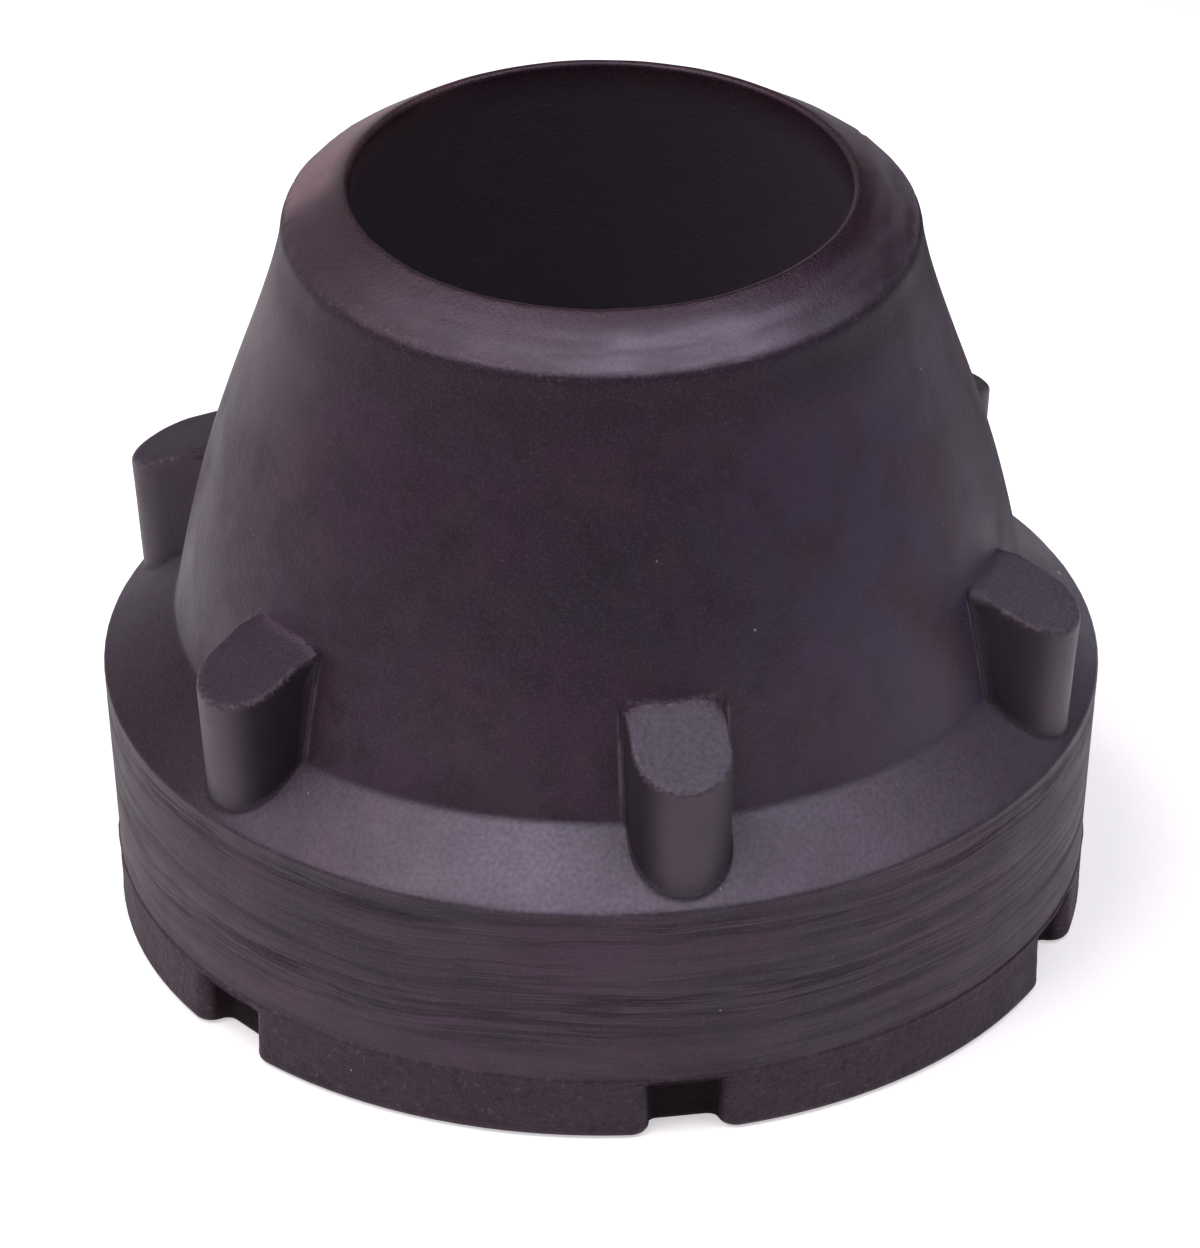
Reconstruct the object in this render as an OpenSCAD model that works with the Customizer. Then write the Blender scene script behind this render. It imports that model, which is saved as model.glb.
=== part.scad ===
// Rubber tip for the foot of a walking cane: a socketed bell on a wide round
// base, with six lugs around the bell and six notches in the tread.
// Millimetres. The tread lies on z = 0 and the socket's axis is +Z.

/* [Socket] */
// Diameter of the socket that the leg is pushed into
bore_d = 25; // [19:0.5:28]
// Thickness of rubber under the socket
floor_h = 12; // [8:0.5:14]
// Radius of the corner at the socket's floor
floor_corner = 0.8; // [0.4:0.1:2]
// Radius that breaks the edge between the socket and its lip
mouth_edge = 0.3; // [0.2:0.05:0.8]

/* [Bell] */
// Overall height, to the top of the lip
total_h = 40.7; // [39:0.1:44]
// Slope of the lip, in degrees
lip_slope = 34; // [25:1:38]
// Diameter of the lip's outer edge
rim_d = 31.98; // [31:0.1:34]
// Radius of the lip's outer edge
rim_edge = 0.55; // [0.2:0.05:1]
// Bell diameter at three quarters of its height
bell_d3 = 34.52; // [34:0.1:36]
// Bell diameter at half its height
bell_d2 = 38.2; // [37.5:0.1:39]
// Bell diameter at a quarter of its height
bell_d1 = 41.18; // [40.5:0.1:42]
// Diameter of the bell's foot
foot_d = 43.22; // [42.6:0.1:44]
// Height of the bell's foot
foot_z = 16.6; // [15.6:0.1:17]
// Radius in the corner between bell and shoulder
foot_fillet = 0.6; // [0.2:0.1:1.5]

/* [Base] */
// Diameter at the top of the side band
band_top_d = 50.56; // [50:0.1:52]
// Height of the top of the side band
band_top_z = 13.6; // [12:0.1:14.2]
// Radius of the edge between band and shoulder
band_edge = 0.4; // [0.1:0.05:1]
// Diameter at the bottom of the side band
band_bottom_d = 49.24; // [48.8:0.1:49.4]
// Diameter at the top of the tread
tread_top_d = 49.52; // [49.5:0.1:50]
// Diameter at the bottom of the tread
tread_bottom_d = 48.98; // [48.4:0.1:49.4]
// Height of the tread
tread_h = 3.5; // [2.5:0.1:4.5]
// Radius of the tread's bottom edge
tread_edge = 0.45; // [0.1:0.05:1]

/* [Lugs] */
// Number of lugs around the bell
lug_count = 6; // [3:1:8]
// Width of a lug
lug_w = 5.1; // [4:0.1:6]
// Distance of a lug's outer face from the axis, at the shoulder
lug_r = 24.75; // [24:0.05:24.9]
// Outward lean of a lug's outer face, in degrees
lug_lean = 5.6; // [0:0.1:6]
// Height of a lug's top at its outer edge
lug_top_z = 20.4; // [18.5:0.1:22]
// Slope of a lug's top, in degrees
lug_slope = 25; // [10:1:35]

/* [Tread notches] */
// Number of notches in the tread
notch_count = 6; // [3:1:8]
// Width of a notch between its walls
notch_w = 3.4; // [2.4:0.1:4.4]
// Depth of a notch from the tread's side
notch_depth = 1.6; // [1.5:0.1:2.4]
// Height of a notch's roof
notch_h = 3; // [2:0.1:3.4]
// Radius of a notch's inner corners
notch_inner = 0.45; // [0.2:0.05:0.6]
// Radius of a notch's outer corners
notch_corner = 1; // [0.4:0.05:1]

/* [Hidden] */
rubber = [0.17, 0.145, 0.175];
fn_round = 96;
fn_lug = 48;
// height at which lug_r is measured
lug_ref_z = 14;
// a lug's root ends inside the wall of the bell
lug_root = 9.6;
// outer reach of a notch's outer corners, just past the tread's side
notch_reach = tread_top_d / 2 + 0.04;
// distance of a notch's back from the axis
notch_back = (tread_top_d + tread_bottom_d) / 4 - notch_depth;
// small step between tread and band
step_h = 0.12;
// where the lip's slope would meet the socket's wall if that edge were sharp
lip_peak_z = total_h + mouth_edge * (1 / tan((90 - lip_slope) / 2) - 1);
// height of the lip's outer edge
rim_z = lip_peak_z - (rim_d - bore_d) / 2 * tan(lip_slope);

function unit(v) = v / norm(v);
function turn(a, b) = atan2(a[0] * b[1] - a[1] * b[0], a * b);

// One corner of an outline, rounded to radius r in n steps
function corner(p, c, q, r, n) =
    let (u = unit(p - c), v = unit(q - c),
         half = abs(turn(u, v)) / 2,
         m = c + unit(u + v) * r / sin(half),
         s = c + u * r / tan(half),
         e = c + v * r / tan(half),
         a = turn(s - m, e - m),
         w = s - m)
    [for (i = [0:n]) let (t = a * i / n)
        m + [w[0] * cos(t) - w[1] * sin(t), w[0] * sin(t) + w[1] * cos(t)]];

// Outline with a radius at each point, 0 for a sharp one: [[x, y, radius, steps], ...]
function rounded(pts) =
    [for (i = [0:len(pts) - 1])
        let (k = len(pts), a = pts[(i + k - 1) % k], b = pts[i], c = pts[(i + 1) % k])
        each (b[2] == 0 ? [[b[0], b[1]]]
            : corner([a[0], a[1]], [b[0], b[1]], [c[0], c[1]], b[2], b[3]))];

// Smooth curve through the bell's five measured diameters, t from foot to lip
function bell_d(t) =
    let (x = t * 4)
      foot_d  * (x - 1) * (x - 2) * (x - 3) * (x - 4) / 24
    - bell_d1 * x * (x - 2) * (x - 3) * (x - 4) / 6
    + bell_d2 * x * (x - 1) * (x - 3) * (x - 4) / 4
    - bell_d3 * x * (x - 1) * (x - 2) * (x - 4) / 6
    + rim_d   * x * (x - 1) * (x - 2) * (x - 3) / 24;

bell_steps = 12;
section = rounded(concat(
    [[0, 0, 0, 0],
     [tread_bottom_d / 2, 0, tread_edge, 3],
     [tread_top_d / 2, tread_h, 0, 0],
     [band_bottom_d / 2, tread_h + step_h, 0, 0],
     [band_top_d / 2, band_top_z, band_edge, 3],
     [foot_d / 2, foot_z, foot_fillet, 3]],
    [for (i = [1:bell_steps - 1])
        [bell_d(i / bell_steps) / 2, foot_z + (rim_z - foot_z) * i / bell_steps, 0, 0]],
    [[rim_d / 2, rim_z, rim_edge, 4],
     [bore_d / 2, lip_peak_z, mouth_edge, 4],
     [bore_d / 2, floor_h, floor_corner, 4],
     [0, floor_h, 0, 0]]));

// Base, bell, lip and socket as one turned section
module bell_body() {
    rotate_extrude($fn = fn_round) polygon(section);
}

// One lug: straight sides, half round outer end, sloping top
module lug() {
    difference() {
        translate([lug_r, 0, lug_ref_z])
            rotate([0, lug_lean, 0]) {
                translate([-lug_w / 2, 0, -3]) cylinder(d = lug_w, h = 14, $fn = fn_lug);
                translate([-lug_root, -lug_w / 2, -3]) cube([lug_root - lug_w / 2, lug_w, 14]);
            }
        translate([lug_r + (lug_top_z - lug_ref_z) * tan(lug_lean), 0, lug_top_z])
            rotate([0, lug_slope, 0])
                translate([-20, -lug_w, 0]) cube([30, 2 * lug_w, 16]);
    }
}

// Cutter for one notch: a pocket with a flat back that opens through the
// tread's side, with all its upright corners rounded
module notch_cutter() {
    v = notch_w / 2 + notch_corner;
    d = notch_reach - notch_corner;
    u = sqrt(d * d - v * v);
    in_u = notch_back + notch_inner;
    in_v = notch_w / 2 - notch_inner;
    h = notch_h + 1;
    translate([0, 0, -1]) {
        translate([notch_back, -in_v, 0]) cube([3, 2 * in_v, h]);
        translate([in_u, -notch_w / 2, 0]) cube([2.5, notch_w, h]);
        for (s = [-1, 1])
            translate([in_u, s * in_v, 0]) cylinder(r = notch_inner, h = h, $fn = fn_lug);
        difference() {
            linear_extrude(h)
                polygon([[u, -v], [u, v], [u, v] * (d + 4) / d, [u, -v] * (d + 4) / d]);
            for (s = [-1, 1])
                translate([u, s * v, -1])
                    cylinder(r = notch_corner, h = h + 2, $fn = fn_lug);
        }
    }
}

module rubber_tip() {
    color(rubber)
        difference() {
            union() {
                bell_body();
                for (i = [0:lug_count - 1])
                    rotate([0, 0, 360 * i / lug_count - 90]) lug();
            }
            for (i = [0:notch_count - 1])
                rotate([0, 0, 360 * i / notch_count - 90]) notch_cutter();
        }
}

rubber_tip();
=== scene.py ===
import math

import bpy
import numpy as np
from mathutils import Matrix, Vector


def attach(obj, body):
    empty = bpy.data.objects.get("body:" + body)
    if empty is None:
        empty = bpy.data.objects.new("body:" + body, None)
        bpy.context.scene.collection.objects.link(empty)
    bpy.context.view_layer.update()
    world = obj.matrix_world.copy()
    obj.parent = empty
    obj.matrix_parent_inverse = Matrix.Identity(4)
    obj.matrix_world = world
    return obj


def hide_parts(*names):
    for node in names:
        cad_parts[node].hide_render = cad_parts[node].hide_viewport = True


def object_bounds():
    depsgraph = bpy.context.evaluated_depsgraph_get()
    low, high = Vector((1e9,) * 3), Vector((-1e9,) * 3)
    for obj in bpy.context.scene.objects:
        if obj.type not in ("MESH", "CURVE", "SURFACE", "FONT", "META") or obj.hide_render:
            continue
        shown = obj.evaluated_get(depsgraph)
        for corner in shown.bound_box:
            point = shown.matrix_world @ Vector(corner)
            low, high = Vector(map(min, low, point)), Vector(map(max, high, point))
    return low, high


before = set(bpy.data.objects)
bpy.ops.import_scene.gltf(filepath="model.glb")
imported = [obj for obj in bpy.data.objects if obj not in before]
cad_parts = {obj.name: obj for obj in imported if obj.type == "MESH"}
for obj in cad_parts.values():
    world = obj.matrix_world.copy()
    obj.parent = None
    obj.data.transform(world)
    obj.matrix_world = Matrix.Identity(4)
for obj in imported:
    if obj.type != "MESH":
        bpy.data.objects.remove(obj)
cad_low, cad_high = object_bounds()

MM = 0.001

# ------------------------------------------------------------------ dimensions, in millimetres
BORE_R, FLOOR_Z, FLOOR_CORNER, MOUTH_EDGE = 12.5, 12.0, 0.8, 0.3
TOTAL_H, LIP_SLOPE, RIM_R, RIM_EDGE = 40.7, 34.0, 15.99, 1.05
BELL_D = (43.22, 41.18, 38.2, 34.52, 31.98)
FOOT_Z, FOOT_FILLET = 16.6, 0.7
BAND_TOP_R, BAND_TOP_Z, BAND_EDGE, BAND_BOT_R = 25.28, 13.6, 0.4, 24.62
TREAD_TOP_R, TREAD_BOT_R, TREAD_H, TREAD_EDGE, STEP_H = 24.76, 24.49, 3.5, 0.45, 0.12
LUG_W, LUG_R, LUG_LEAN, LUG_TOP_Z, LUG_SLOPE, LUG_REF_Z = 2.55, 24.75, 5.6, 20.4, 25.0, 14.0
NOTCH_W, NOTCH_DEPTH, NOTCH_H, NOTCH_INNER, NOTCH_CORNER = 1.7, 1.6, 3.0, 0.45, 1.0
NOTCH_BACK = (TREAD_TOP_R + TREAD_BOT_R) / 2 - NOTCH_DEPTH
LIP_PEAK = TOTAL_H + MOUTH_EDGE * (1 / math.tan(math.radians((90 - LIP_SLOPE) / 2)) - 1)
RIM_Z = LIP_PEAK - (RIM_R - BORE_R) * math.tan(math.radians(LIP_SLOPE))
HALF = 30                      # columns of points in half a sector
SECTORS = 6                    # one lug and one notch in each
LUG_EDGE, LUG_ROOT = 0.26, 0.16


def corner(p, c, q, r, n):
    """A corner of an outline, rounded to radius r."""
    p, c, q = (np.array(a, float) for a in (p, c, q))
    u, v = (p - c) / np.linalg.norm(p - c), (q - c) / np.linalg.norm(q - c)
    half = math.acos(np.clip(u @ v, -1, 1)) / 2
    m = c + (u + v) / np.linalg.norm(u + v) * r / math.sin(half)
    s, e = c + u * r / math.tan(half) - m, c + v * r / math.tan(half) - m
    a = math.atan2(s[0] * e[1] - s[1] * e[0], s @ e)
    t = np.linspace(0, a, n + 1)
    return np.stack([m[0] + s[0] * np.cos(t) - s[1] * np.sin(t), m[1] + s[0] * np.sin(t) + s[1] * np.cos(t)], 1)


def bell_r(t):
    x = 4 * np.asarray(t, float)
    a, b, c, d, e = BELL_D
    return (a * (x - 1) * (x - 2) * (x - 3) * (x - 4) / 24 - b * x * (x - 2) * (x - 3) * (x - 4) / 6
            + c * x * (x - 1) * (x - 3) * (x - 4) / 4 - d * x * (x - 1) * (x - 2) * (x - 4) / 6
            + e * x * (x - 1) * (x - 2) * (x - 3) / 24) / 2


def profile():
    """The turned section's outside, from below the band up to the rim's edge."""
    bell = [(float(bell_r(t)), FOOT_Z + (RIM_Z - FOOT_Z) * t) for t in np.linspace(0, 1, 61)]
    first = np.array([[BAND_BOT_R, TREAD_H + STEP_H]])
    band = corner((BAND_BOT_R, TREAD_H + STEP_H), (BAND_TOP_R, BAND_TOP_Z), bell[0], BAND_EDGE, 8)
    foot = corner((BAND_TOP_R, BAND_TOP_Z), bell[0], bell[3], FOOT_FILLET, 8)
    side = np.array(bell[1:-1])
    side = side[(side[:, 1] > foot[-1, 1] + 0.05) & (side[:, 1] < RIM_Z - 0.55)]
    rim = corner(bell[-4], bell[-1], (BORE_R, LIP_PEAK), RIM_EDGE, 8)
    return np.concatenate([first, band, foot, side, rim])


class Section:
    """Signed distance to the turned section, kept on a grid."""

    def __init__(self, outline):
        low = (BAND_BOT_R - (TREAD_H + STEP_H - 1.0) * 0.0661, 1.0)
        poly = np.concatenate([[[BORE_R, 1.0], low], outline, [[BORE_R, LIP_PEAK]]])
        self.h, self.r0, self.z0 = 0.05, 11.0, 1.2
        r, z = np.arange(self.r0, 28.0, self.h), np.arange(self.z0, 41.5, self.h)
        R, Z = np.meshgrid(r, z, indexing="ij")
        d2, inside = np.full(R.shape, 1e9), np.zeros(R.shape, bool)
        for a, b in zip(poly, np.roll(poly, -1, 0)):
            ab = b - a
            length = ab @ ab
            if length < 1e-12:
                continue
            t = np.clip(((R - a[0]) * ab[0] + (Z - a[1]) * ab[1]) / length, 0, 1)
            d2 = np.minimum(d2, (R - a[0] - t * ab[0]) ** 2 + (Z - a[1] - t * ab[1]) ** 2)
            if a[1] != b[1]:
                inside ^= ((a[1] > Z) != (b[1] > Z)) & (R < a[0] + (Z - a[1]) * ab[0] / ab[1])
        self.d = np.sqrt(d2) * np.where(inside, -1, 1)

    def __call__(self, r, z):
        x = np.clip((r - self.r0) / self.h, 0, self.d.shape[0] - 1.001)
        y = np.clip((z - self.z0) / self.h, 0, self.d.shape[1] - 1.001)
        i, j = x.astype(int), y.astype(int)
        fx, fy, d = x - i, y - j, self.d
        return (d[i, j] * (1 - fx) * (1 - fy) + d[i + 1, j] * fx * (1 - fy)
                + d[i, j + 1] * (1 - fx) * fy + d[i + 1, j + 1] * fx * fy)


TAN_LEAN, TAN_SLOPE = math.tan(math.radians(LUG_LEAN)), math.tan(math.radians(LUG_SLOPE))
COS_LEAN, COS_SLOPE = math.cos(math.radians(LUG_LEAN)), math.cos(math.radians(LUG_SLOPE))
LUG_TOP_R = LUG_R + (LUG_TOP_Z - LUG_REF_Z) * TAN_LEAN


def lug_plan(u, v, z):
    """Distance outside a lug's upright sides: flat, with a half-round outer end."""
    uc = LUG_R + (z - LUG_REF_Z) * TAN_LEAN - LUG_W
    return np.where(u > uc, np.hypot((u - uc) * COS_LEAN, v) - LUG_W, np.abs(v) - LUG_W)


def lug_top(u, z):
    return ((z - LUG_TOP_Z) + (u - LUG_TOP_R) * TAN_SLOPE) * COS_SLOPE


def lug_shoulder(u, v):
    """How far outside the rounded back corners of a lug's top a point lies, where the top meets the bell."""
    return np.maximum(np.hypot(np.maximum(21.9 - u, 0), np.maximum(np.abs(v) - 1.05, 0)) - 1.5, 0)


def round_union(a, b, r):
    return np.maximum(r, np.minimum(a, b)) - np.hypot(np.maximum(r - a, 0), np.maximum(r - b, 0))


def round_cut(a, b, r):
    return np.minimum(-r, np.maximum(a, b)) + np.hypot(np.maximum(r + a, 0), np.maximum(r + b, 0))


def smooth(x):
    x = np.clip(x, 0, 1)
    return x * x * (3 - 2 * x)


def bump(x, w):
    return np.exp(-(x / w) ** 2)


# ------------------------------------------------------------------ columns and rows of points
V_LUG = np.array([0, .35, .7, 1.03, 1.34, 1.62, 1.86, 2.06, 2.22, 2.34, 2.43, 2.49, 2.53, 2.54, 2.55, 2.56,
                  2.57, 2.60, 2.66, 2.75, 2.89, 3.12, 3.5, 4.15, 5.1, 6.3, 7.65, 9.0, 10.25, 11.45, 12.65])
WALL_A, WALL_B = 12, 16
RHO = 25.3


def half_to_full(a, odd):
    """Values on half a sector's columns, 0 to HALF, to a whole sector's, -HALF to HALF - 1."""
    a = np.asarray(a)
    left = a[1:][::-1]
    return np.concatenate([-left if odd else left, a[:-1]])


def notch_outline(R):
    """Half the tread's outline with its notch: points and outward normals."""
    d, v = R - NOTCH_CORNER, NOTCH_W + NOTCH_CORNER
    u = math.sqrt(d * d - v * v)
    g = math.atan2(v, u)
    back = np.stack([np.full(6, NOTCH_BACK), np.linspace(0, NOTCH_W - NOTCH_INNER, 6)], 1)
    b = np.linspace(math.pi, math.pi / 2, 5)[1:]
    f = np.linspace(-math.pi / 2, g, 9)
    k = np.linspace(0, 1, HALF - 17)[1:]
    t = g + (math.pi / 6 - g) * (0.35 * k + 0.65 * k * k)
    arc, mouth, side = (np.stack([np.cos(a), np.sin(a)], 1) for a in (b, f, t))
    inner = np.array([NOTCH_BACK + NOTCH_INNER, NOTCH_W - NOTCH_INNER]) + NOTCH_INNER * arc
    return (np.concatenate([back, inner, np.array([u, v]) + NOTCH_CORNER * mouth, R * side]),
            np.concatenate([np.tile([1.0, 0.0], (6, 1)), -arc, mouth, side]))


def above_notch():
    """Half a sector's column angles on the ring above the notches."""
    d, v = TREAD_TOP_R - NOTCH_CORNER, NOTCH_W + NOTCH_CORNER
    g = math.asin(v / d)
    w = np.concatenate([np.linspace(0, NOTCH_W, 11), np.linspace(NOTCH_W, TREAD_TOP_R * math.sin(g), 9)[1:]])
    k = np.linspace(0, 1, HALF - 17)[1:]
    return np.concatenate([np.arcsin(w / TREAD_TOP_R), g + (math.pi / 6 - g) * (0.35 * k + 0.65 * k * k)])


def tread_row(R):
    p, n = notch_outline(R)
    return (half_to_full(p[:, 0], False), half_to_full(p[:, 1], True),
            half_to_full(n[:, 0], False), half_to_full(n[:, 1], True))


UNDER, TREAD, BAND, DECK, BELL, LIP, SOCKET = range(7)


def build_sector():
    """One sector's points as (rows, columns, (u, v, z)), and each point's zone and distances."""
    sec = Section(profile())
    rows, facts = [], []
    k = 2 * HALF
    even = np.radians(np.arange(-HALF, HALF) * (30.0 / HALF))

    def add(u, v, z, zone, body=0.0, plan=9.0, top=-9.0):
        rows.append(np.stack([np.broadcast_to(np.asarray(x, float), k) for x in (u, v, z)], 1))
        facts.append(np.stack([np.broadcast_to(np.asarray(x, float), k) for x in (zone, body, plan, top)], 1))

    def ring(r, z, zone):
        add(r * np.cos(even), r * np.sin(even), z, zone)

    # the underside, from the middle outwards
    u, v, nu, nv = tread_row(TREAD_BOT_R + 0.03)
    ub, vb = u - nu * TREAD_EDGE, v - nv * TREAD_EDGE
    for f in (0.05, 0.2, 0.38, 0.55, 0.7, 0.82, 0.91, 0.965):
        r, mix = 21.6 * f / 0.965, 0.35 if f > 0.95 else 0.0
        add(r * np.cos(even) * (1 - mix) + ub * 0.985 * mix, r * np.sin(even) * (1 - mix) + vb * 0.985 * mix, 0, UNDER)
    for a in np.radians([0, 22.5, 45, 67.5, 90]):
        z = TREAD_EDGE * (1 - math.cos(a))
        u, v, nu, nv = tread_row(TREAD_BOT_R + (TREAD_TOP_R - TREAD_BOT_R) * z / TREAD_H)
        inset = TREAD_EDGE * (1 - math.sin(a))
        add(u - nu * inset, v - nv * inset, z, TREAD if a > 0.1 else UNDER)
    # the tread's side, the notches' roofs and the small step above them
    for z in np.linspace(TREAD_EDGE, NOTCH_H, 13)[1:]:
        u, v, nu, nv = tread_row(TREAD_BOT_R + (TREAD_TOP_R - TREAD_BOT_R) * z / TREAD_H)
        add(u, v, z, TREAD)
    th_n = half_to_full(above_notch(), True)
    r = TREAD_BOT_R + (TREAD_TOP_R - TREAD_BOT_R) * NOTCH_H / TREAD_H
    rise = smooth((np.hypot(u, v) - r + 0.4) / 0.35)
    for f, z in ((0.4, 0.03), (0.8, 0.06), (1.0, 0.09), (1.0, 0.16), (1.0, 0.25), (1.0, 0.37), (1.0, 0.5)):
        z = NOTCH_H + z * (rise if f < 1 else 1)
        r = TREAD_BOT_R + (TREAD_TOP_R - TREAD_BOT_R) * z / TREAD_H
        add(u * (1 - f) + r * np.cos(th_n) * f, v * (1 - f) + r * np.sin(th_n) * f, z, TREAD)
    # the band, the shoulder, the lugs and the bell: where level rays from outside first meet them
    rim = profile()[-9:]
    z_ray = np.concatenate([
        np.linspace(TREAD_H + STEP_H, 13.22, 79),
        np.linspace(13.22, 13.72, 8)[1:],
        np.linspace(13.72, 16.35, 21)[1:],
        np.linspace(16.35, 16.95, 7)[1:],
        np.linspace(16.95, 19.9, 12)[1:],
        np.linspace(19.9, 23.1, 26)[1:],
        np.linspace(23.1, rim[0, 1], 42)[1:]])
    s = (smooth((z_ray - 9.5) / 3.5) * (1 - smooth((z_ray - 23.15) / 4.0)))[:, None]
    low = (1 - smooth((z_ray - 3.62) / 3.2))[:, None]
    col = half_to_full(V_LUG, True)
    th_l = np.arcsin(col / RHO)
    ph_l = th_l * smooth((np.abs(col) - 2.6) / (12.65 - 2.6))
    TH = (th_l * s + even * (1 - s)) * (1 - low) + th_n * low
    PH = (ph_l * s + even * (1 - s)) * (1 - low) + th_n * low
    Z = np.repeat(z_ray[:, None], k, 1)
    du, dv = -np.cos(PH), -np.sin(PH)
    au, av = RHO * np.cos(TH) - du * 1.5, RHO * np.sin(TH) - dv * 1.5

    def solid(t):
        a, b = au + du * t, av + dv * t
        lug = round_cut(lug_plan(a, b, Z), lug_top(a, Z) + 3.0 * lug_shoulder(a, b), LUG_EDGE)
        return round_union(sec(np.hypot(a, b), Z), lug, LUG_ROOT)

    lo, hi, found = np.zeros(Z.shape), np.full(Z.shape, 14.0), np.zeros(Z.shape, bool)
    for t in np.arange(0.2, 14.0, 0.2):
        hit = (solid(np.full(Z.shape, t)) < 0) & ~found
        lo[hit], hi[hit] = t - 0.2, t
        found |= hit
    for _ in range(26):
        mid = (lo + hi) / 2
        neg = solid(mid) < 0
        hi, lo = np.where(neg, mid, hi), np.where(neg, lo, mid)
    U, V = au + du * hi, av + dv * hi
    full = s[:, 0] > 0.999
    for sign in (-1, 1):
        a, b = HALF + sign * WALL_A, HALF + sign * WALL_B
        for i in range(1, WALL_B - WALL_A):
            f, c = i / (WALL_B - WALL_A), HALF + sign * (WALL_A + i)
            U[full, c] = U[full, a] * (1 - f) + U[full, b] * f
            V[full, c] = V[full, a] * (1 - f) + V[full, b] * f
    for i, z in enumerate(z_ray):
        add(U[i], V[i], z, BAND if z < 13.55 else (DECK if z < 16.6 else BELL),
            sec(np.hypot(U[i], V[i]), Z[i]), lug_plan(U[i], V[i], z), lug_top(U[i], z))
    # the rim's edge, the lip, the mouth and the socket
    for r, z in rim[1:]:
        ring(r, z, BELL if z < RIM_Z else LIP)
    mouth = corner(tuple(rim[-1]), (BORE_R, LIP_PEAK), (BORE_R, 20.0), MOUTH_EDGE, 5)
    for f in np.linspace(0, 1, 14)[1:-1]:
        ring(*(rim[-1] * (1 - f) + mouth[0] * f), LIP)
    for r, z in mouth:
        ring(r, z, LIP)
    heel = corner((BORE_R, 20.0), (BORE_R, FLOOR_Z), (0.0, FLOOR_Z), FLOOR_CORNER, 5)
    for z in np.linspace(mouth[-1, 1], heel[0, 1], 15)[1:-1]:
        ring(BORE_R, z, SOCKET)
    for r, z in heel:
        ring(r, z, SOCKET)
    for r in (9.5, 7.0, 4.5, 2.2, 0.8):
        ring(r, FLOOR_Z, SOCKET)
    return np.array(rows), np.array(facts)


def whole(rows):
    """All six sectors; the first lug's middle lies on -Y."""
    n, k, _ = rows.shape
    out = np.zeros((n, k * SECTORS, 3))
    for i in range(SECTORS):
        a = math.radians(60 * i - 90)
        out[:, i * k:(i + 1) * k, 0] = rows[:, :, 0] * math.cos(a) - rows[:, :, 1] * math.sin(a)
        out[:, i * k:(i + 1) * k, 1] = rows[:, :, 0] * math.sin(a) + rows[:, :, 1] * math.cos(a)
        out[:, i * k:(i + 1) * k, 2] = rows[:, :, 2]
    return out


def lattice(ix, iy, iz, seed):
    """A number from 0 to 1 for each point of a lattice, always the same one."""
    h = (ix.astype(np.int64) * 374761393 + iy.astype(np.int64) * 668265263
         + iz.astype(np.int64) * 2147483647 + seed * 1274126177) & 0xFFFFFFFF
    h = ((h ^ (h >> 13)) * 1274126177) & 0xFFFFFFFF
    h = ((h ^ (h >> 16)) * 2246822519) & 0xFFFFFFFF
    return ((h ^ (h >> 15)) & 0xFFFFFF) / float(0xFFFFFF)


def noise(p, size, seed):
    """Smooth noise from -1 to 1 on points p; size is one feature's size along x, y and z."""
    q = p / np.asarray(size, float)
    i = np.floor(q)
    f = q - i
    f = f * f * f * (f * (f * 6 - 15) + 10)
    total = 0
    for dx in (0, 1):
        for dy in (0, 1):
            for dz in (0, 1):
                w = ((f[..., 0] if dx else 1 - f[..., 0]) * (f[..., 1] if dy else 1 - f[..., 1])
                     * (f[..., 2] if dz else 1 - f[..., 2]))
                total = total + w * lattice(i[..., 0] + dx, i[..., 1] + dy, i[..., 2] + dz, seed)
    return total * 2 - 1


def grid_normals(P):
    """Area-weighted normals of a grid that closes on itself along its columns."""
    right = np.roll(P, -1, 1) - P
    N = np.zeros_like(P)
    a, b = right[:-1], P[1:] - P[:-1]
    c, d = right[1:], np.roll(b, -1, 1)
    for cross, corners in ((np.cross(a, b), ((0, 0), (0, 1), (1, 0))), (np.cross(c, d), ((1, 1), (0, 1), (1, 0)))):
        for down, side in corners:
            part = np.roll(cross, side, 1)
            if down:
                N[1:] += part
            else:
                N[:-1] += part
    return N / np.maximum(np.linalg.norm(N, axis=2, keepdims=True), 1e-12)


rows, facts = build_sector()
P = whole(rows)
F = np.tile(facts, (1, SECTORS, 1))
zone, body_d, plan_d, top_d = (F[..., i] for i in range(4))
N = grid_normals(P)
R = np.hypot(P[..., 0], P[..., 1])
Z = P[..., 2]
ANG = np.degrees(np.arctan2(P[..., 0], -P[..., 1]))      # from -Y, towards +X
n_rows, n_cols = R.shape

# ------------------------------------------------------------------ where each point lies
outside = (zone >= TREAD) & (zone <= LIP)
on_lug = smooth((body_d - 0.08) / 0.25) * ((zone == DECK) | (zone == BELL) | ((zone == BAND) & (Z > 12)))
lug_top_w = on_lug * smooth((top_d - plan_d + 0.18) / 0.36)
lug_side_w = on_lug * (1 - lug_top_w)
along = R * np.cos(np.radians((ANG + 30) % 60 - 30))         # outwards along the nearest lug
lug_edge_w = on_lug * bump(top_d, 0.2) * bump(plan_d, 0.22) * smooth((along - 21.2) / 1.0)
near_lug = (1 - on_lug) * ((zone == DECK) | (zone == BELL)) * (Z < 23.2)
deck_w = smooth((Z - 13.45) / 0.2) * (1 - smooth((Z - 16.55) / 0.3)) * (1 - on_lug) * ((zone == BAND) | (zone == DECK) | (zone == BELL))
band_w = (zone == BAND) * (1 - smooth((Z - 13.35) / 0.2)) * smooth((Z - 3.5) / 0.15)
tread_w = 1.0 * (zone == TREAD)
lip_w = (zone == LIP) * smooth((16.0 - R) / 0.35)
rim_w = bump(np.hypot(R - 15.85, Z - 38.75), 0.55) * outside
step_w = bump(Z - 3.56, 0.16) * outside * (R > 24.2)
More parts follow.
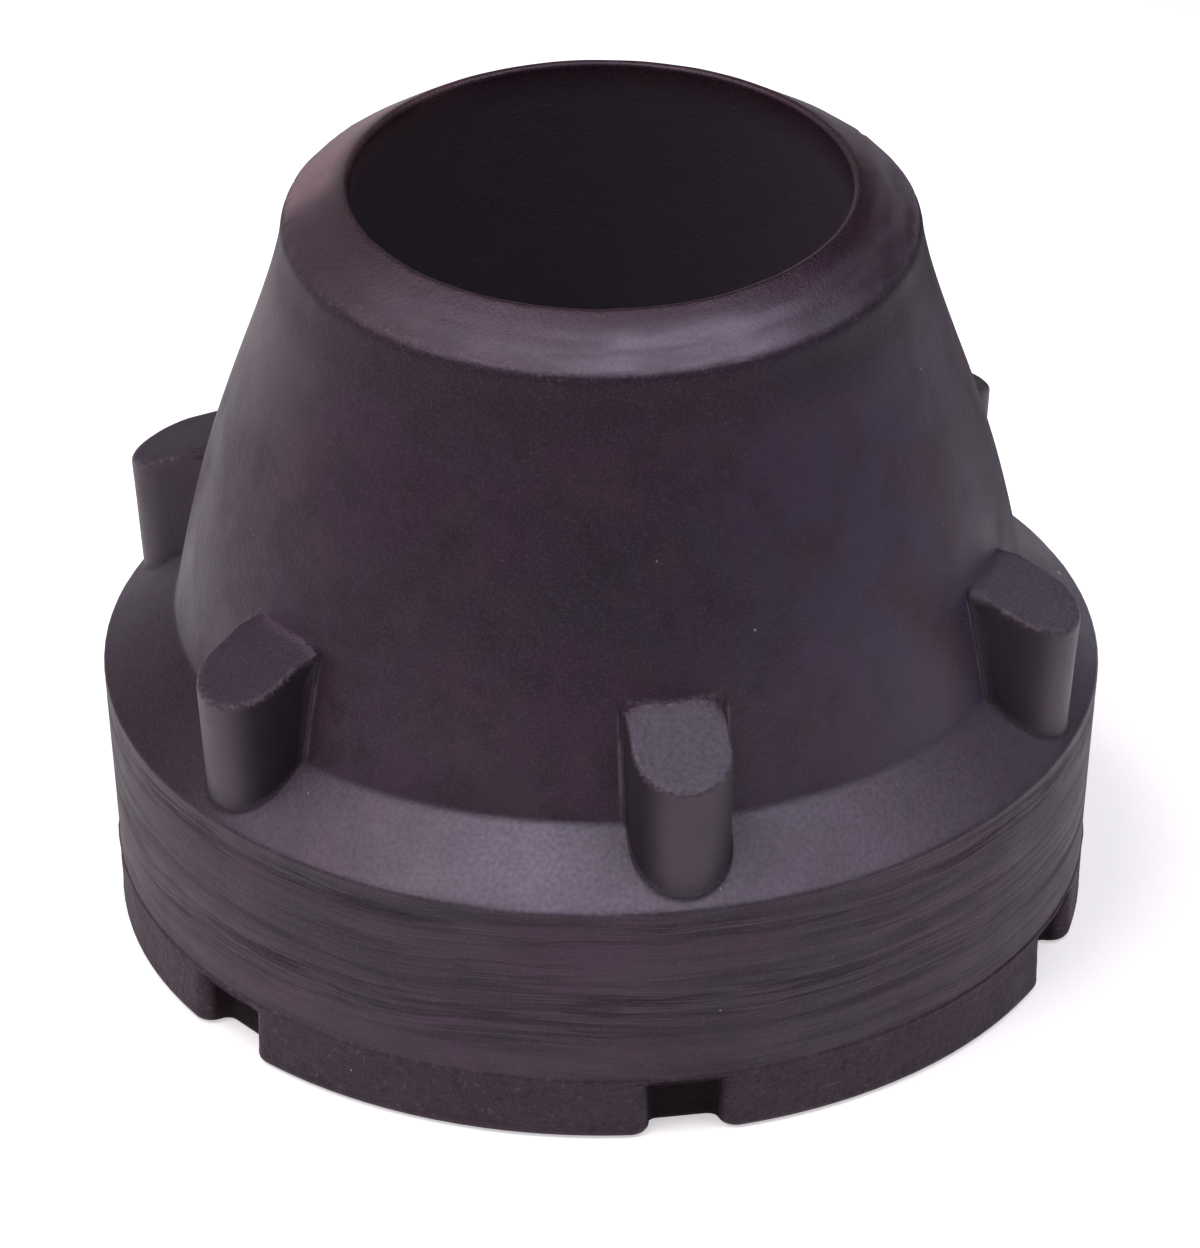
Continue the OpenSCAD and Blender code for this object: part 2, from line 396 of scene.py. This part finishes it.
socket_w = 1.0 * (zone == SOCKET)
below_top = smooth((0.25 - top_d) / 0.5)
# painted shade in the crease at each lug's root, which is also dented a little
root_crease_shade_w = near_lug * bump(plan_d - 0.05, 0.1) * below_top
witness_w = near_lug * bump(plan_d - 0.2, 0.07) * smooth((-0.15 - top_d) / 0.6) * smooth((Z - 16.3) / 0.8)
seam_w = (0.3 + 0.7 * bump(ANG, 40)) * smooth((2.5 - np.abs(R * np.sin(np.radians((ANG + 30) % 60 - 30)))) / 0.5) * bump(top_d - 0.05, 0.13) * bump(body_d - 0.05, 0.14) * smooth((0.15 - plan_d) / 0.3) * (Z > 20.5) * (Z < 23.6) * (zone == BELL)
foot_w = bump(Z - 16.6, 0.35) * (1 - on_lug) * ((zone == DECK) | (zone == BELL))
band_top_w = bump(Z - 13.55, 0.22) * (1 - on_lug) * ((zone == DECK) | (zone == BAND))
across = R * np.sin(np.radians((ANG + 30) % 60 - 30))        # sideways from the nearest lug's middle
# painted shade on the lugs' sides: deeper on one side of each lug, weakest on the lugs at the back
lug_flank_shade_w = (lug_side_w * smooth((np.abs(across) - np.where(ANG > 30, 1.4, 0.8)) / np.where(ANG > 30, 1.1, 1.6))
           * np.where(np.abs(ANG) > 90, 0.2, np.where((across < 0) ^ (ANG < -30), np.where(ANG > 30, 0.7, 1.0), 0.3)))
# a paler blue-violet cast on the bell's front and right side: a painted reflection
cool_painted_reflection_w = (zone == BELL) * (1 - on_lug) * smooth((ANG + 12) / 50) * smooth((108 - ANG) / 58)
# painted shade on the lugs' sides near their feet
lug_foot_shade_w = lug_side_w * (1 - smooth((Z - 13.9) / 1.7))
# painted shade and grime inside the notches
recess_shade_and_grime_w = (zone == TREAD) * smooth((24.2 - R) / 0.5) * (Z < 3.05)
# painted shade on the bell under the rim's edge
collar_shade_w = (zone == BELL) * smooth((Z - 34.0) / 3.2)
# painted shade on the lip towards the mouth
mouth_shade_w = (zone == LIP) * smooth((14.1 - R) / 1.3)
# the band's streaks crowd together under its top edge and around its middle
crowd_w = band_w * np.clip(0.08 + 1.1 * bump(Z - 12.6, 0.75) * (0.6 + 0.6 * noise(P, (9, 9, 0.9), 23))
                           + 1.0 * bump(Z - 7.7, 1.5) * (0.6 + 0.7 * noise(P, (12, 12, 1.2), 24))
                           + 0.5 * np.maximum(noise(P, (10, 10, 0.8), 25), 0), 0, 1)
# how much painted highlight the shoulder, the lugs and the lip carry around the tip: most in front, least on the left
highlight_amount = 0.32 + 0.68 * bump(ANG + 9, 33) - 0.3 * bump(ANG + 80, 20) + 0.65 * bump(ANG - 82, 16)
deck_painted_highlight = deck_w * highlight_amount * (1 - 0.3 * np.maximum(noise(P, 6.0, 21), 0))
lug_top_painted_highlight = lug_top_w * (0.04 + 0.92 * bump(ANG, 28) + 0.75 * bump(ANG - 60, 20))
ROUND = np.stack([P[..., 0] / np.maximum(R, 1) * 16, P[..., 1] / np.maximum(R, 1) * 16, R * 7], -1)
smear = 0.5 + 0.5 * noise(ROUND, 3.6, 26) + 0.3 * noise(ROUND, 1.7, 27)
lip_painted_highlight = lip_w * np.clip(0.24 + 0.95 * bump(ANG - 6, 23) - 0.2 * bump(ANG + 80, 30) + 0.3 * bump(ANG - 92, 25), 0.04, 1) * smooth((R - 13.1) / 1.3) * np.clip(0.25 + smear, 0, 1)
# painted shade on the shoulder where its painted highlight is weak; on the bell's right side this mask only makes the
# rubber more matte
matte_and_shade_w = np.maximum(deck_w * smooth((0.45 - highlight_amount) / 0.3), (zone == BELL) * (1 - on_lug) * smooth((ANG - 58) / 22) * smooth((140 - ANG) / 20))
# painted highlight on the lip's back left
lip_back_painted_highlight = lip_w * smooth((-94 - ANG) / 14) * smooth((ANG + 168) / 34)
# a paler warm cast on the upper bell's left and back-left: a painted reflection
warm_painted_reflection_w = (zone == BELL) * smooth((-56 - ANG) / 32) * smooth((ANG + 170) / 30) * smooth((Z - 28.0) / 5) * (1 - 0.6 * collar_shade_w)
lip_brown = lip_w * smooth((np.abs(ANG) - 42) / 40)

# ------------------------------------------------------------------ uneven surface, along the normals
D = np.zeros_like(R)
skin = outside * smooth((Z - 0.4) / 1.0)
D += skin * (0.035 * noise(P, 9.0, 1) + 0.016 * noise(P, 3.1, 2) - 0.03)
streak = noise(P, (16, 16, 0.34), 3) + 0.6 * noise(P, (9, 9, 0.21), 4) + 0.5 * noise(P, (30, 30, 0.9), 5)
D += band_w * (-0.05 * np.maximum(streak, 0) * crowd_w + 0.006 * streak)
groove = np.maximum(noise(P, (7, 7, 0.26), 6) - 0.35, 0) * (bump(Z - 12.4, 0.5) + bump(Z - 8.9, 0.8) * 0.7)
D += -0.09 * band_w * groove
D += tread_w * smooth((Z - 0.3) / 0.4) * (0.03 * noise(P, 1.3, 7) + 0.02 * noise(P, 0.7, 8) - 0.04 - 0.06 * smooth((Z - 1.2) / 2.0))
D += step_w * (0.035 * noise(P, (1.1, 1.1, 3), 9) + 0.02 * noise(P, (6, 6, 3), 22))
D += deck_w * 0.008 * noise(P, 0.8, 10)
D += lug_top_w * (0.012 * noise(P, 0.75, 11) + 0.007 * noise(P, 0.4, 12))
D += lug_edge_w * 0.018 * np.maximum(noise(P, 1.2, 13), 0)
D += (zone == BELL) * witness_w * (0.02 + 0.02 * noise(P, 1.4, 14)) - root_crease_shade_w * 0.012
D += seam_w * 0.035
nick = np.maximum(noise(P, (0.75, 0.75, 4), 15) - 0.42, 0) + 0.8 * np.maximum(noise(P, (0.4, 0.4, 3), 16) - 0.5, 0)
D += -rim_w * (0.2 * nick + 0.03 * noise(P, 1.6, 17))
D += (zone == BELL) * 0.006 * np.sin((Z - 35.0) / 0.42 * 2 * math.pi + 0.8 * noise(P, 4.0, 18)) * bump(Z - 37.0, 1.1)
D += (zone == LIP) * bump(R - 12.6, 0.45) * 0.02 * noise(P, 1.4, 19)
P = P + N * D[..., None]
sole = zone == UNDER
P[..., 2] = np.where(sole, 0.0, np.maximum(P[..., 2], 0.0))
low_mm, high_mm = np.array(cad_low) / MM, np.array(cad_high) / MM
P = np.clip(P, low_mm, high_mm)

# ------------------------------------------------------------------ the mesh
count = n_rows * n_cols
verts = np.concatenate([P.reshape(-1, 3), [[0, 0, 0], [0, 0, FLOOR_Z]]]) * MM
i = np.arange(n_rows - 1)[:, None] * n_cols
j = np.arange(n_cols)[None]
jn = (j + 1) % n_cols
quads = np.stack(np.broadcast_arrays(i + j, i + jn, i + n_cols + jn, i + n_cols + j), -1).reshape(-1, 4)
j, jn = j[0], jn[0]
last = (n_rows - 1) * n_cols
fan = np.concatenate([np.stack([jn, j, np.full(n_cols, count)], 1),
                      np.stack([last + j, last + jn, np.full(n_cols, count + 1)], 1)])
mesh = bpy.data.meshes.new("rubber_tip_moulding")
mesh.vertices.add(len(verts))
mesh.vertices.foreach_set("co", verts.astype(np.float32).ravel())
loops = np.concatenate([quads.ravel(), fan.ravel()])
mesh.loops.add(len(loops))
mesh.loops.foreach_set("vertex_index", loops.astype(np.int32))
sizes = np.concatenate([np.full(len(quads), 4), np.full(len(fan), 3)])
starts = np.concatenate([[0], np.cumsum(sizes)[:-1]])
mesh.polygons.add(len(sizes))
mesh.polygons.foreach_set("loop_start", starts.astype(np.int32))
mesh.polygons.foreach_set("use_smooth", np.ones(len(sizes), bool))
mesh.update(calc_edges=True)
mesh.validate()
for name, values in (("deck", deck_w), ("band", band_w), ("tread", tread_w), ("lip", lip_w), ("rim", rim_w),
                     ("socket", socket_w), ("lug_top", lug_top_w), ("lug_side", lug_side_w), ("lug_edge", lug_edge_w),
                     ("root", root_crease_shade_w), ("witness", witness_w), ("seam", seam_w), ("step", step_w), ("foot", foot_w), ("band_top", band_top_w),
                     ("lug_flank_shade", lug_flank_shade_w), ("lug_foot_shade", lug_foot_shade_w), ("recess_shade_and_grime", recess_shade_and_grime_w), ("collar_shade", collar_shade_w), ("mouth", mouth_shade_w),
                     ("deck_painted_highlight", deck_painted_highlight), ("lip_painted_highlight", lip_painted_highlight), ("lug_top_painted_highlight", lug_top_painted_highlight), ("lip_brown", lip_brown), ("lip_back_painted_highlight", lip_back_painted_highlight), ("warm_painted_reflection", warm_painted_reflection_w),
                     ("crowd", crowd_w), ("cool_painted_reflection", cool_painted_reflection_w), ("matte_and_shade", matte_and_shade_w)):
    att = mesh.attributes.new(name, "FLOAT", "POINT")
    att.data.foreach_set("value", np.concatenate([values.ravel(), [0.0, 1.0 if name == "socket" else 0.0]]).astype(np.float32))
tip = bpy.data.objects.new("rubber_tip_moulding", mesh)
bpy.context.scene.collection.objects.link(tip)


# ------------------------------------------------------------------ materials
class Nodes:
    """Short names for the nodes of one material."""

    def __init__(self, name):
        self.mat = bpy.data.materials.new(name)
        self.mat.use_nodes = True
        self.tree = self.mat.node_tree
        self.tree.nodes.clear()
        self.coord = self.tree.nodes.new("ShaderNodeTexCoord").outputs["Object"]

    def put(self, socket, value):
        if isinstance(value, bpy.types.NodeSocket):
            self.tree.links.new(value, socket)
        else:
            socket.default_value = value

    def math(self, op, a, b=0.0, c=0.0, clamp=False):
        n = self.tree.nodes.new("ShaderNodeMath")
        n.operation, n.use_clamp = op, clamp
        for s, v in zip(n.inputs, (a, b, c)):
            self.put(s, v)
        return n.outputs[0]

    def scaled(self, x, y, z, start=None):
        n = self.tree.nodes.new("ShaderNodeVectorMath")
        n.operation = "MULTIPLY"
        self.put(n.inputs[0], start or self.coord)
        n.inputs[1].default_value = (x, y, z)
        return n.outputs[0]

    def noise(self, mm, detail=2.0, rough=0.5, vector=None, distortion=0.0):
        """Noise whose features are about mm millimetres across."""
        n = self.tree.nodes.new("ShaderNodeTexNoise")
        self.put(n.inputs["Vector"], vector or self.coord)
        n.inputs["Scale"].default_value = 1000.0 / mm
        n.inputs["Detail"].default_value = detail
        n.inputs["Roughness"].default_value = rough
        n.inputs["Distortion"].default_value = distortion
        return n.outputs["Fac"]

    def cells(self, mm, feature="F1", vector=None):
        n = self.tree.nodes.new("ShaderNodeTexVoronoi")
        n.feature = feature
        self.put(n.inputs["Vector"], vector or self.coord)
        n.inputs["Scale"].default_value = 1000.0 / mm
        return n

    def map(self, v, a, b, c=0.0, d=1.0, smooth=False):
        n = self.tree.nodes.new("ShaderNodeMapRange")
        n.clamp = True
        if smooth:
            n.interpolation_type = "SMOOTHSTEP"
        for s, x in zip(("Value", "From Min", "From Max", "To Min", "To Max"), (v, a, b, c, d)):
            self.put(n.inputs[s], x)
        return n.outputs["Result"]

    def att(self, name):
        n = self.tree.nodes.new("ShaderNodeAttribute")
        n.attribute_name = name
        return n.outputs["Fac"]

    def mix(self, a, b, fac, mode="MIX"):
        n = self.tree.nodes.new("ShaderNodeMix")
        n.data_type, n.blend_type = "RGBA", mode
        self.put(n.inputs["Factor"], fac)
        self.put(n.inputs[6], (*a, 1.0) if isinstance(a, tuple) else a)
        self.put(n.inputs[7], (*b, 1.0) if isinstance(b, tuple) else b)
        return n.outputs[2]

    def bump(self, height, mm, strength=1.0, normal=None):
        n = self.tree.nodes.new("ShaderNodeBump")
        self.put(n.inputs["Height"], height)
        n.inputs["Distance"].default_value = mm * MM
        n.inputs["Strength"].default_value = strength
        if normal is not None:
            self.put(n.inputs["Normal"], normal)
        return n.outputs["Normal"]

    def finish(self, colour, roughness, normal=None, **fixed):
        b = self.tree.nodes.new("ShaderNodeBsdfPrincipled")
        self.put(b.inputs["Base Color"], colour)
        self.put(b.inputs["Roughness"], roughness)
        if normal is not None:
            self.put(b.inputs["Normal"], normal)
        for k, v in fixed.items():
            b.inputs[k.replace("_", " ")].default_value = v
        out = self.tree.nodes.new("ShaderNodeOutputMaterial")
        self.tree.links.new(b.outputs[0], out.inputs[0])
        return self.mat


def rubber():
    g = Nodes("moulded_rubber")
    band, tread, lip, top, side = (g.att(n) for n in ("band", "tread", "lip", "lug_top", "lug_side"))

    def both(a, b):
        return g.math("MULTIPLY", a, b)

    mottle = g.noise(7.0, 3.0, 0.6)
    cloud = g.noise(2.6, 4.0, 0.62)
    stain = g.noise(4.2, 3.0, 0.6, g.scaled(1.0, 1.0, 0.8))
    fine = g.noise(0.24, 3.0, 0.65)
    grain = g.noise(0.12, 2.0, 0.6)
    # level streaks: long around the tip, thin in height
    height, waved = g.tree.nodes.new("ShaderNodeCombineXYZ"), g.tree.nodes.new("ShaderNodeVectorMath")
    g.put(height.inputs[2], both(g.math("SUBTRACT", g.noise(13.0, 2.0), 0.5), 1.8 * MM))
    g.put(waved.inputs[0], g.coord)
    g.put(waved.inputs[1], height.outputs[0])
    wavy = waved.outputs[0]
    streak = g.noise(1.0, 3.0, 0.62, g.scaled(1 / 9, 1 / 9, 1 / 0.42, wavy))
    scratch = g.noise(1.0, 2.0, 0.6, g.scaled(1 / 5, 1 / 5, 1 / 0.13, wavy))
    broad = g.noise(1.0, 2.0, 0.5, g.scaled(1 / 14, 1 / 14, 1 / 0.95, wavy))
    colour = g.mix((0.0210, 0.0068, 0.0210), (0.0130, 0.0092, 0.0160), g.map(mottle, 0.42, 0.6))
    # painted reflection: a paler blue-violet cast on the bell's front and right, where the dark mottle below is also
    # weaker
    colour = g.mix(colour, (0.0390, 0.0310, 0.0590), both(g.att("cool_painted_reflection"), g.map(cloud, 0.3, 0.6, 0.6, 0.85)))
    colour = g.mix(colour, (0.0300, 0.0150, 0.0160), g.map(stain, 0.5, 0.68, 0.0, 0.7))
    colour = g.mix(colour, (0.0050, 0.0018, 0.0060), both(g.map(cloud, 0.47, 0.66, 0.0, 0.75), g.math("SUBTRACT", 1.0, both(g.att("cool_painted_reflection"), 0.65))))
    # painted shade under the rim's edge
    colour = g.mix(colour, (0.0050, 0.0015, 0.0060), both(g.att("collar_shade"), 0.75))
    # painted reflection, warm, on the upper bell's left and back-left
    colour = g.mix(colour, (0.060, 0.042, 0.047), both(g.att("warm_painted_reflection"), g.map(cloud, 0.3, 0.6, 0.45, 0.9)))
    # the shoulder, the lip and the lugs' tops are paler with painted highlights, strongest in front, and speckled;
    # painted shade darkens the shoulder's dim side, the lugs' flanks and feet and the lip by the mouth
    colour = g.mix(colour, (0.022, 0.013, 0.021), both(g.att("deck"), 0.6))
    # painted shade on the shoulder's dim side
    colour = g.mix(colour, (0.004, 0.001, 0.003), both(both(g.att("matte_and_shade"), g.att("deck")), 0.9))
    # painted highlight on the shoulder
    colour = g.mix(colour, (0.160, 0.164, 0.200), both(g.att("deck_painted_highlight"), g.map(fine, 0.3, 0.7, 0.34, 0.8)))
    colour = g.mix(colour, (0.010, 0.008, 0.014), both(top, 0.85))
    # painted highlight on the lugs' tops
    colour = g.mix(colour, (0.120, 0.119, 0.146), both(g.att("lug_top_painted_highlight"), g.map(fine, 0.3, 0.7, 0.3, 0.72)))
    colour = g.mix(colour, (0.050, 0.041, 0.050), both(side, 0.75))
    # painted shade on the lugs' flanks
    colour = g.mix(colour, (0.002, 0.001, 0.003), both(g.att("lug_flank_shade"), 0.92))
    # painted shade at the lugs' feet
    colour = g.mix(colour, (0.005, 0.003, 0.006), both(g.att("lug_foot_shade"), 0.6))
    colour = g.mix(colour, (0.026, 0.010, 0.012), both(g.att("lip_brown"), g.map(mottle, 0.3, 0.6, 0.4, 0.9)))
    # painted highlight on the lip's back left
    colour = g.mix(colour, (0.190, 0.118, 0.122), both(g.att("lip_back_painted_highlight"), g.map(cloud, 0.3, 0.6, 0.5, 0.95)))
    # painted highlight on the lip
    colour = g.mix(colour, (0.148, 0.148, 0.180), both(g.att("lip_painted_highlight"), g.map(fine, 0.3, 0.7, 0.6, 0.9)))
    # painted shade on the lip by the mouth
    colour = g.mix(colour, (0.012, 0.005, 0.007), both(g.att("mouth"), g.map(mottle, 0.35, 0.6, 0.5, 0.9)))
    # the band: a paler ground with dark level streaks, in places crowded together
    colour = g.mix(colour, g.mix((0.034, 0.016, 0.030), (0.025, 0.020, 0.024), g.map(stain, 0.42, 0.58)), both(band, 0.85))
    dark = both(g.map(streak, 0.49, 0.57, 0.0, 0.95), g.att("crowd"))
    colour = g.mix(colour, (0.004, 0.002, 0.004), dark)
    colour = g.mix(colour, (0.009, 0.006, 0.010), both(band, g.map(broad, 0.5, 0.6, 0.0, 0.6)))
    colour = g.mix(colour, (0.008, 0.004, 0.007), both(band, g.map(scratch, 0.58, 0.7, 0.0, 0.3)))
    colour = g.mix(colour, (0.060, 0.045, 0.055), both(band, g.map(scratch, 0.4, 0.28, 0.0, 0.18)))
    colour = g.mix(colour, (0.004, 0.002, 0.004), both(g.att("band_top"), g.map(streak, 0.4, 0.6, 0.1, 0.6)))
    # the tread: pitted, with pale specks; the notches are dark inside with painted shade and grime
    pits = g.noise(0.42, 3.0, 0.7)
    colour = g.mix(colour, (0.021, 0.011, 0.017), both(tread, 0.85))
    colour = g.mix(colour, (0.004, 0.002, 0.003), both(tread, g.map(pits, 0.46, 0.36, 0.0, 0.9)))
    colour = g.mix(colour, (0.080, 0.064, 0.072), both(tread, g.map(pits, 0.6, 0.72, 0.0, 0.7)))
    # painted shade and grime inside the notches
    colour = g.mix(colour, (0.006, 0.003, 0.003), both(g.att("recess_shade_and_grime"), 0.97))
    colour = g.mix(colour, (0.055, 0.048, 0.056), both(g.att("socket"), 0.85))
    # rubbed edges, the fine mould line round each lug, and grains everywhere
    colour = g.mix(colour, (0.13, 0.115, 0.13), both(g.att("lug_edge"), g.map(fine, 0.45, 0.66, 0.05, 0.95)))
    # painted shade in the crease at each lug's root
    colour = g.mix(colour, (0.004, 0.002, 0.004), both(g.att("root"), 0.85))
    colour = g.mix(colour, (0.14, 0.12, 0.13), both(g.att("witness"), g.map(cloud, 0.36, 0.6, 0.12, 0.8)))
    colour = g.mix(colour, (0.12, 0.105, 0.125), both(g.att("seam"), g.map(fine, 0.4, 0.65, 0.1, 0.7)))
    colour = g.mix(colour, (0.07, 0.058, 0.064), both(g.att("step"), g.map(pits, 0.56, 0.7, 0.0, 0.8)))
    colour = g.mix(colour, (0.10, 0.085, 0.095), both(g.att("rim"), g.map(fine, 0.58, 0.72, 0.0, 0.7)))
    colour = g.mix(colour, (0.05, 0.042, 0.052), both(g.map(grain, 0.48, 0.76, 0.0, 0.6), g.math("SUBTRACT", 1.0, g.math("ADD", g.att("lug_flank_shade"), g.att("recess_shade_and_grime")), clamp=True)))

    # dust: single bright dots, and small clusters of fainter ones
    def dots(mm, size, field, low):
        return both(g.map(g.cells(mm).outputs["Distance"], size, size * 1.5, 1.0, 0.0), g.map(g.noise(field), low, low + 0.05))

    dust = g.math("MAXIMUM", dots(3.4, 0.026, 7.0, 0.54), both(dots(0.8, 0.06, 2.2, 0.64), 0.4))
    colour = g.mix(colour, (0.50, 0.46, 0.46), both(dust, g.math("SUBTRACT", 1.0, g.math("ADD", g.math("ADD", g.att("socket"), g.att("mouth")), side), clamp=True)))
    rough = g.math("ADD", g.map(cloud, 0.3, 0.7, 0.46, 0.56), both(g.math("ADD", g.math("ADD", both(tread, 1.5), top), both(band, 0.6)), 0.13))
    rough = g.math("ADD", rough, both(g.att("collar_shade"), 0.08))
    rough = g.math("ADD", rough, g.math("ADD", both(dark, 0.15), both(g.math("ADD", g.att("recess_shade_and_grime"), g.att("lug_flank_shade")), 0.35)))
    rough = g.math("ADD", rough, both(g.att("matte_and_shade"), 0.25))
    rough = g.math("SUBTRACT", rough, both(lip, 0.06))
    normal = g.bump(both(fine, g.math("MULTIPLY_ADD", top, 0.64, 0.36)), 0.078, 1.0)
    normal = g.bump(grain, 0.009, 1.0, normal)
    normal = g.bump(cloud, 0.05, 1.0, normal)
    normal = g.bump(both(g.math("ADD", streak, both(scratch, 0.5)), g.math("MULTIPLY", g.math("ADD", g.att("crowd"), both(band, 0.25)), -1.0)), 0.13, 1.0, normal)
    normal = g.bump(both(pits, tread), 0.14, 1.0, normal)
    return g.finish(colour, rough, normal, Specular_IOR_Level=0.45, Specular_Tint=(1.0, 0.80, 0.97, 1.0))


mesh.materials.append(rubber())
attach(tip, "root")
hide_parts("rubber_tip")

# ------------------------------------------------------------------ floor, light and camera
floor_mesh = bpy.data.meshes.new("floor")
floor_mesh.from_pydata([(x, y, -0.02 * MM) for x, y in ((-4, -4), (4, -4), (4, 4), (-4, 4))], [], [(0, 1, 2, 3)])
floor = bpy.data.objects.new("floor", floor_mesh)
bpy.context.scene.collection.objects.link(floor)
# the floor glows, evenly within about 100 mm of a point 35 mm left of the tip and fading out by 150 mm, and is paler in
# the same pool: a painted pool of light, which also lights the tip from below
floor_g = Nodes("glowing_floor")
middle, away = (floor_g.tree.nodes.new("ShaderNodeVectorMath") for _ in range(2))
middle.operation, away.operation = "ADD", "LENGTH"
floor_g.put(middle.inputs[0], floor_g.coord)
middle.inputs[1].default_value = (0.035, 0.0, 0.0)
floor_g.put(away.inputs[0], middle.outputs["Vector"])
floor_mat = floor_g.finish(
    floor_g.mix((0.68, 0.72, 0.69), (0.40, 0.42, 0.405), floor_g.map(away.outputs["Value"], 0.101, 0.15, smooth=True)),
    0.75, Specular_IOR_Level=0.0, Emission_Color=(1.0, 0.97, 0.99, 1.0))
glow = next(n for n in floor_g.tree.nodes if n.type == "BSDF_PRINCIPLED").inputs["Emission Strength"]
# the floor's glow: strong in the pool, weak beyond it
floor_g.put(glow, floor_g.map(away.outputs["Value"], 0.101, 0.15, 0.54, 0.08, smooth=True))
floor_mesh.materials.append(floor_mat)

# the studio is pale where the camera sees it, and dim as a light: the lamps below do the lighting
world = bpy.data.worlds.new("studio")
bpy.context.scene.world = world
world.use_nodes = True
wt = world.node_tree
wt.nodes.clear()
seen, dim = wt.nodes.new("ShaderNodeBackground"), wt.nodes.new("ShaderNodeBackground")
seen.inputs[0].default_value, seen.inputs[1].default_value = (1.0, 1.0, 1.0, 1.0), 0.95
dim.inputs[0].default_value, dim.inputs[1].default_value = (1.0, 0.97, 1.0, 1.0), 0.01
path, either, out = (wt.nodes.new(n) for n in ("ShaderNodeLightPath", "ShaderNodeMixShader", "ShaderNodeOutputWorld"))
wt.links.new(path.outputs["Is Camera Ray"], either.inputs[0])
wt.links.new(dim.outputs[0], either.inputs[1])
wt.links.new(seen.outputs[0], either.inputs[2])
wt.links.new(either.outputs[0], out.inputs[0])


def soft_lamp(name, azimuth, elevation, strength, colour=(1.0, 0.91, 0.98), spread=34):
    """A far, broad lamp. Azimuth 0 is in front, on -Y, and 90 on +X."""
    lamp = bpy.data.lights.new(name, "SUN")
    lamp.angle, lamp.energy, lamp.color = math.radians(spread), math.pi * strength, colour
    o = bpy.data.objects.new(name, lamp)
    bpy.context.scene.collection.objects.link(o)
    a, e = math.radians(azimuth), math.radians(elevation)
    back = Vector((math.sin(a) * math.cos(e), -math.cos(a) * math.cos(e), math.sin(e)))
    o.rotation_euler = (-back).to_track_quat("-Z", "Y").to_euler()
    return o


soft_lamp("key_left", 300, 62, 0.62, (1.0, 0.90, 0.96))
soft_lamp("key_right", 60, 62, 0.42, (0.99, 0.91, 1.04))
soft_lamp("top", 0, 90, 0.06)
soft_lamp("back_left_high", 245, 50, 0.2, (1.0, 0.86, 0.94))
soft_lamp("back_left_low", 250, 28, 0.055, (1.0, 0.84, 0.93))
soft_lamp("back_1", 180, 8, 0.065)
soft_lamp("back_2", 210, 8, 0.035)
soft_lamp("back_3", 240, 8, 0.045)

camera_data = bpy.data.cameras.new("camera")
camera_data.sensor_width, camera_data.lens = 36.0, 348.98
camera_data.clip_start, camera_data.clip_end = 0.05, 20.0
camera = bpy.data.objects.new("camera", camera_data)
bpy.context.scene.collection.objects.link(camera)
camera.location = (-0.091286, -0.517936, 0.330845)
target = Vector((-0.000053, 0.000009, 0.015118))
camera.rotation_euler = (target - camera.location).to_track_quat("-Z", "Y").to_euler()
bpy.context.scene.camera = camera
bpy.context.scene.view_settings.view_transform = "Standard"
bpy.context.scene.view_settings.look = "None"
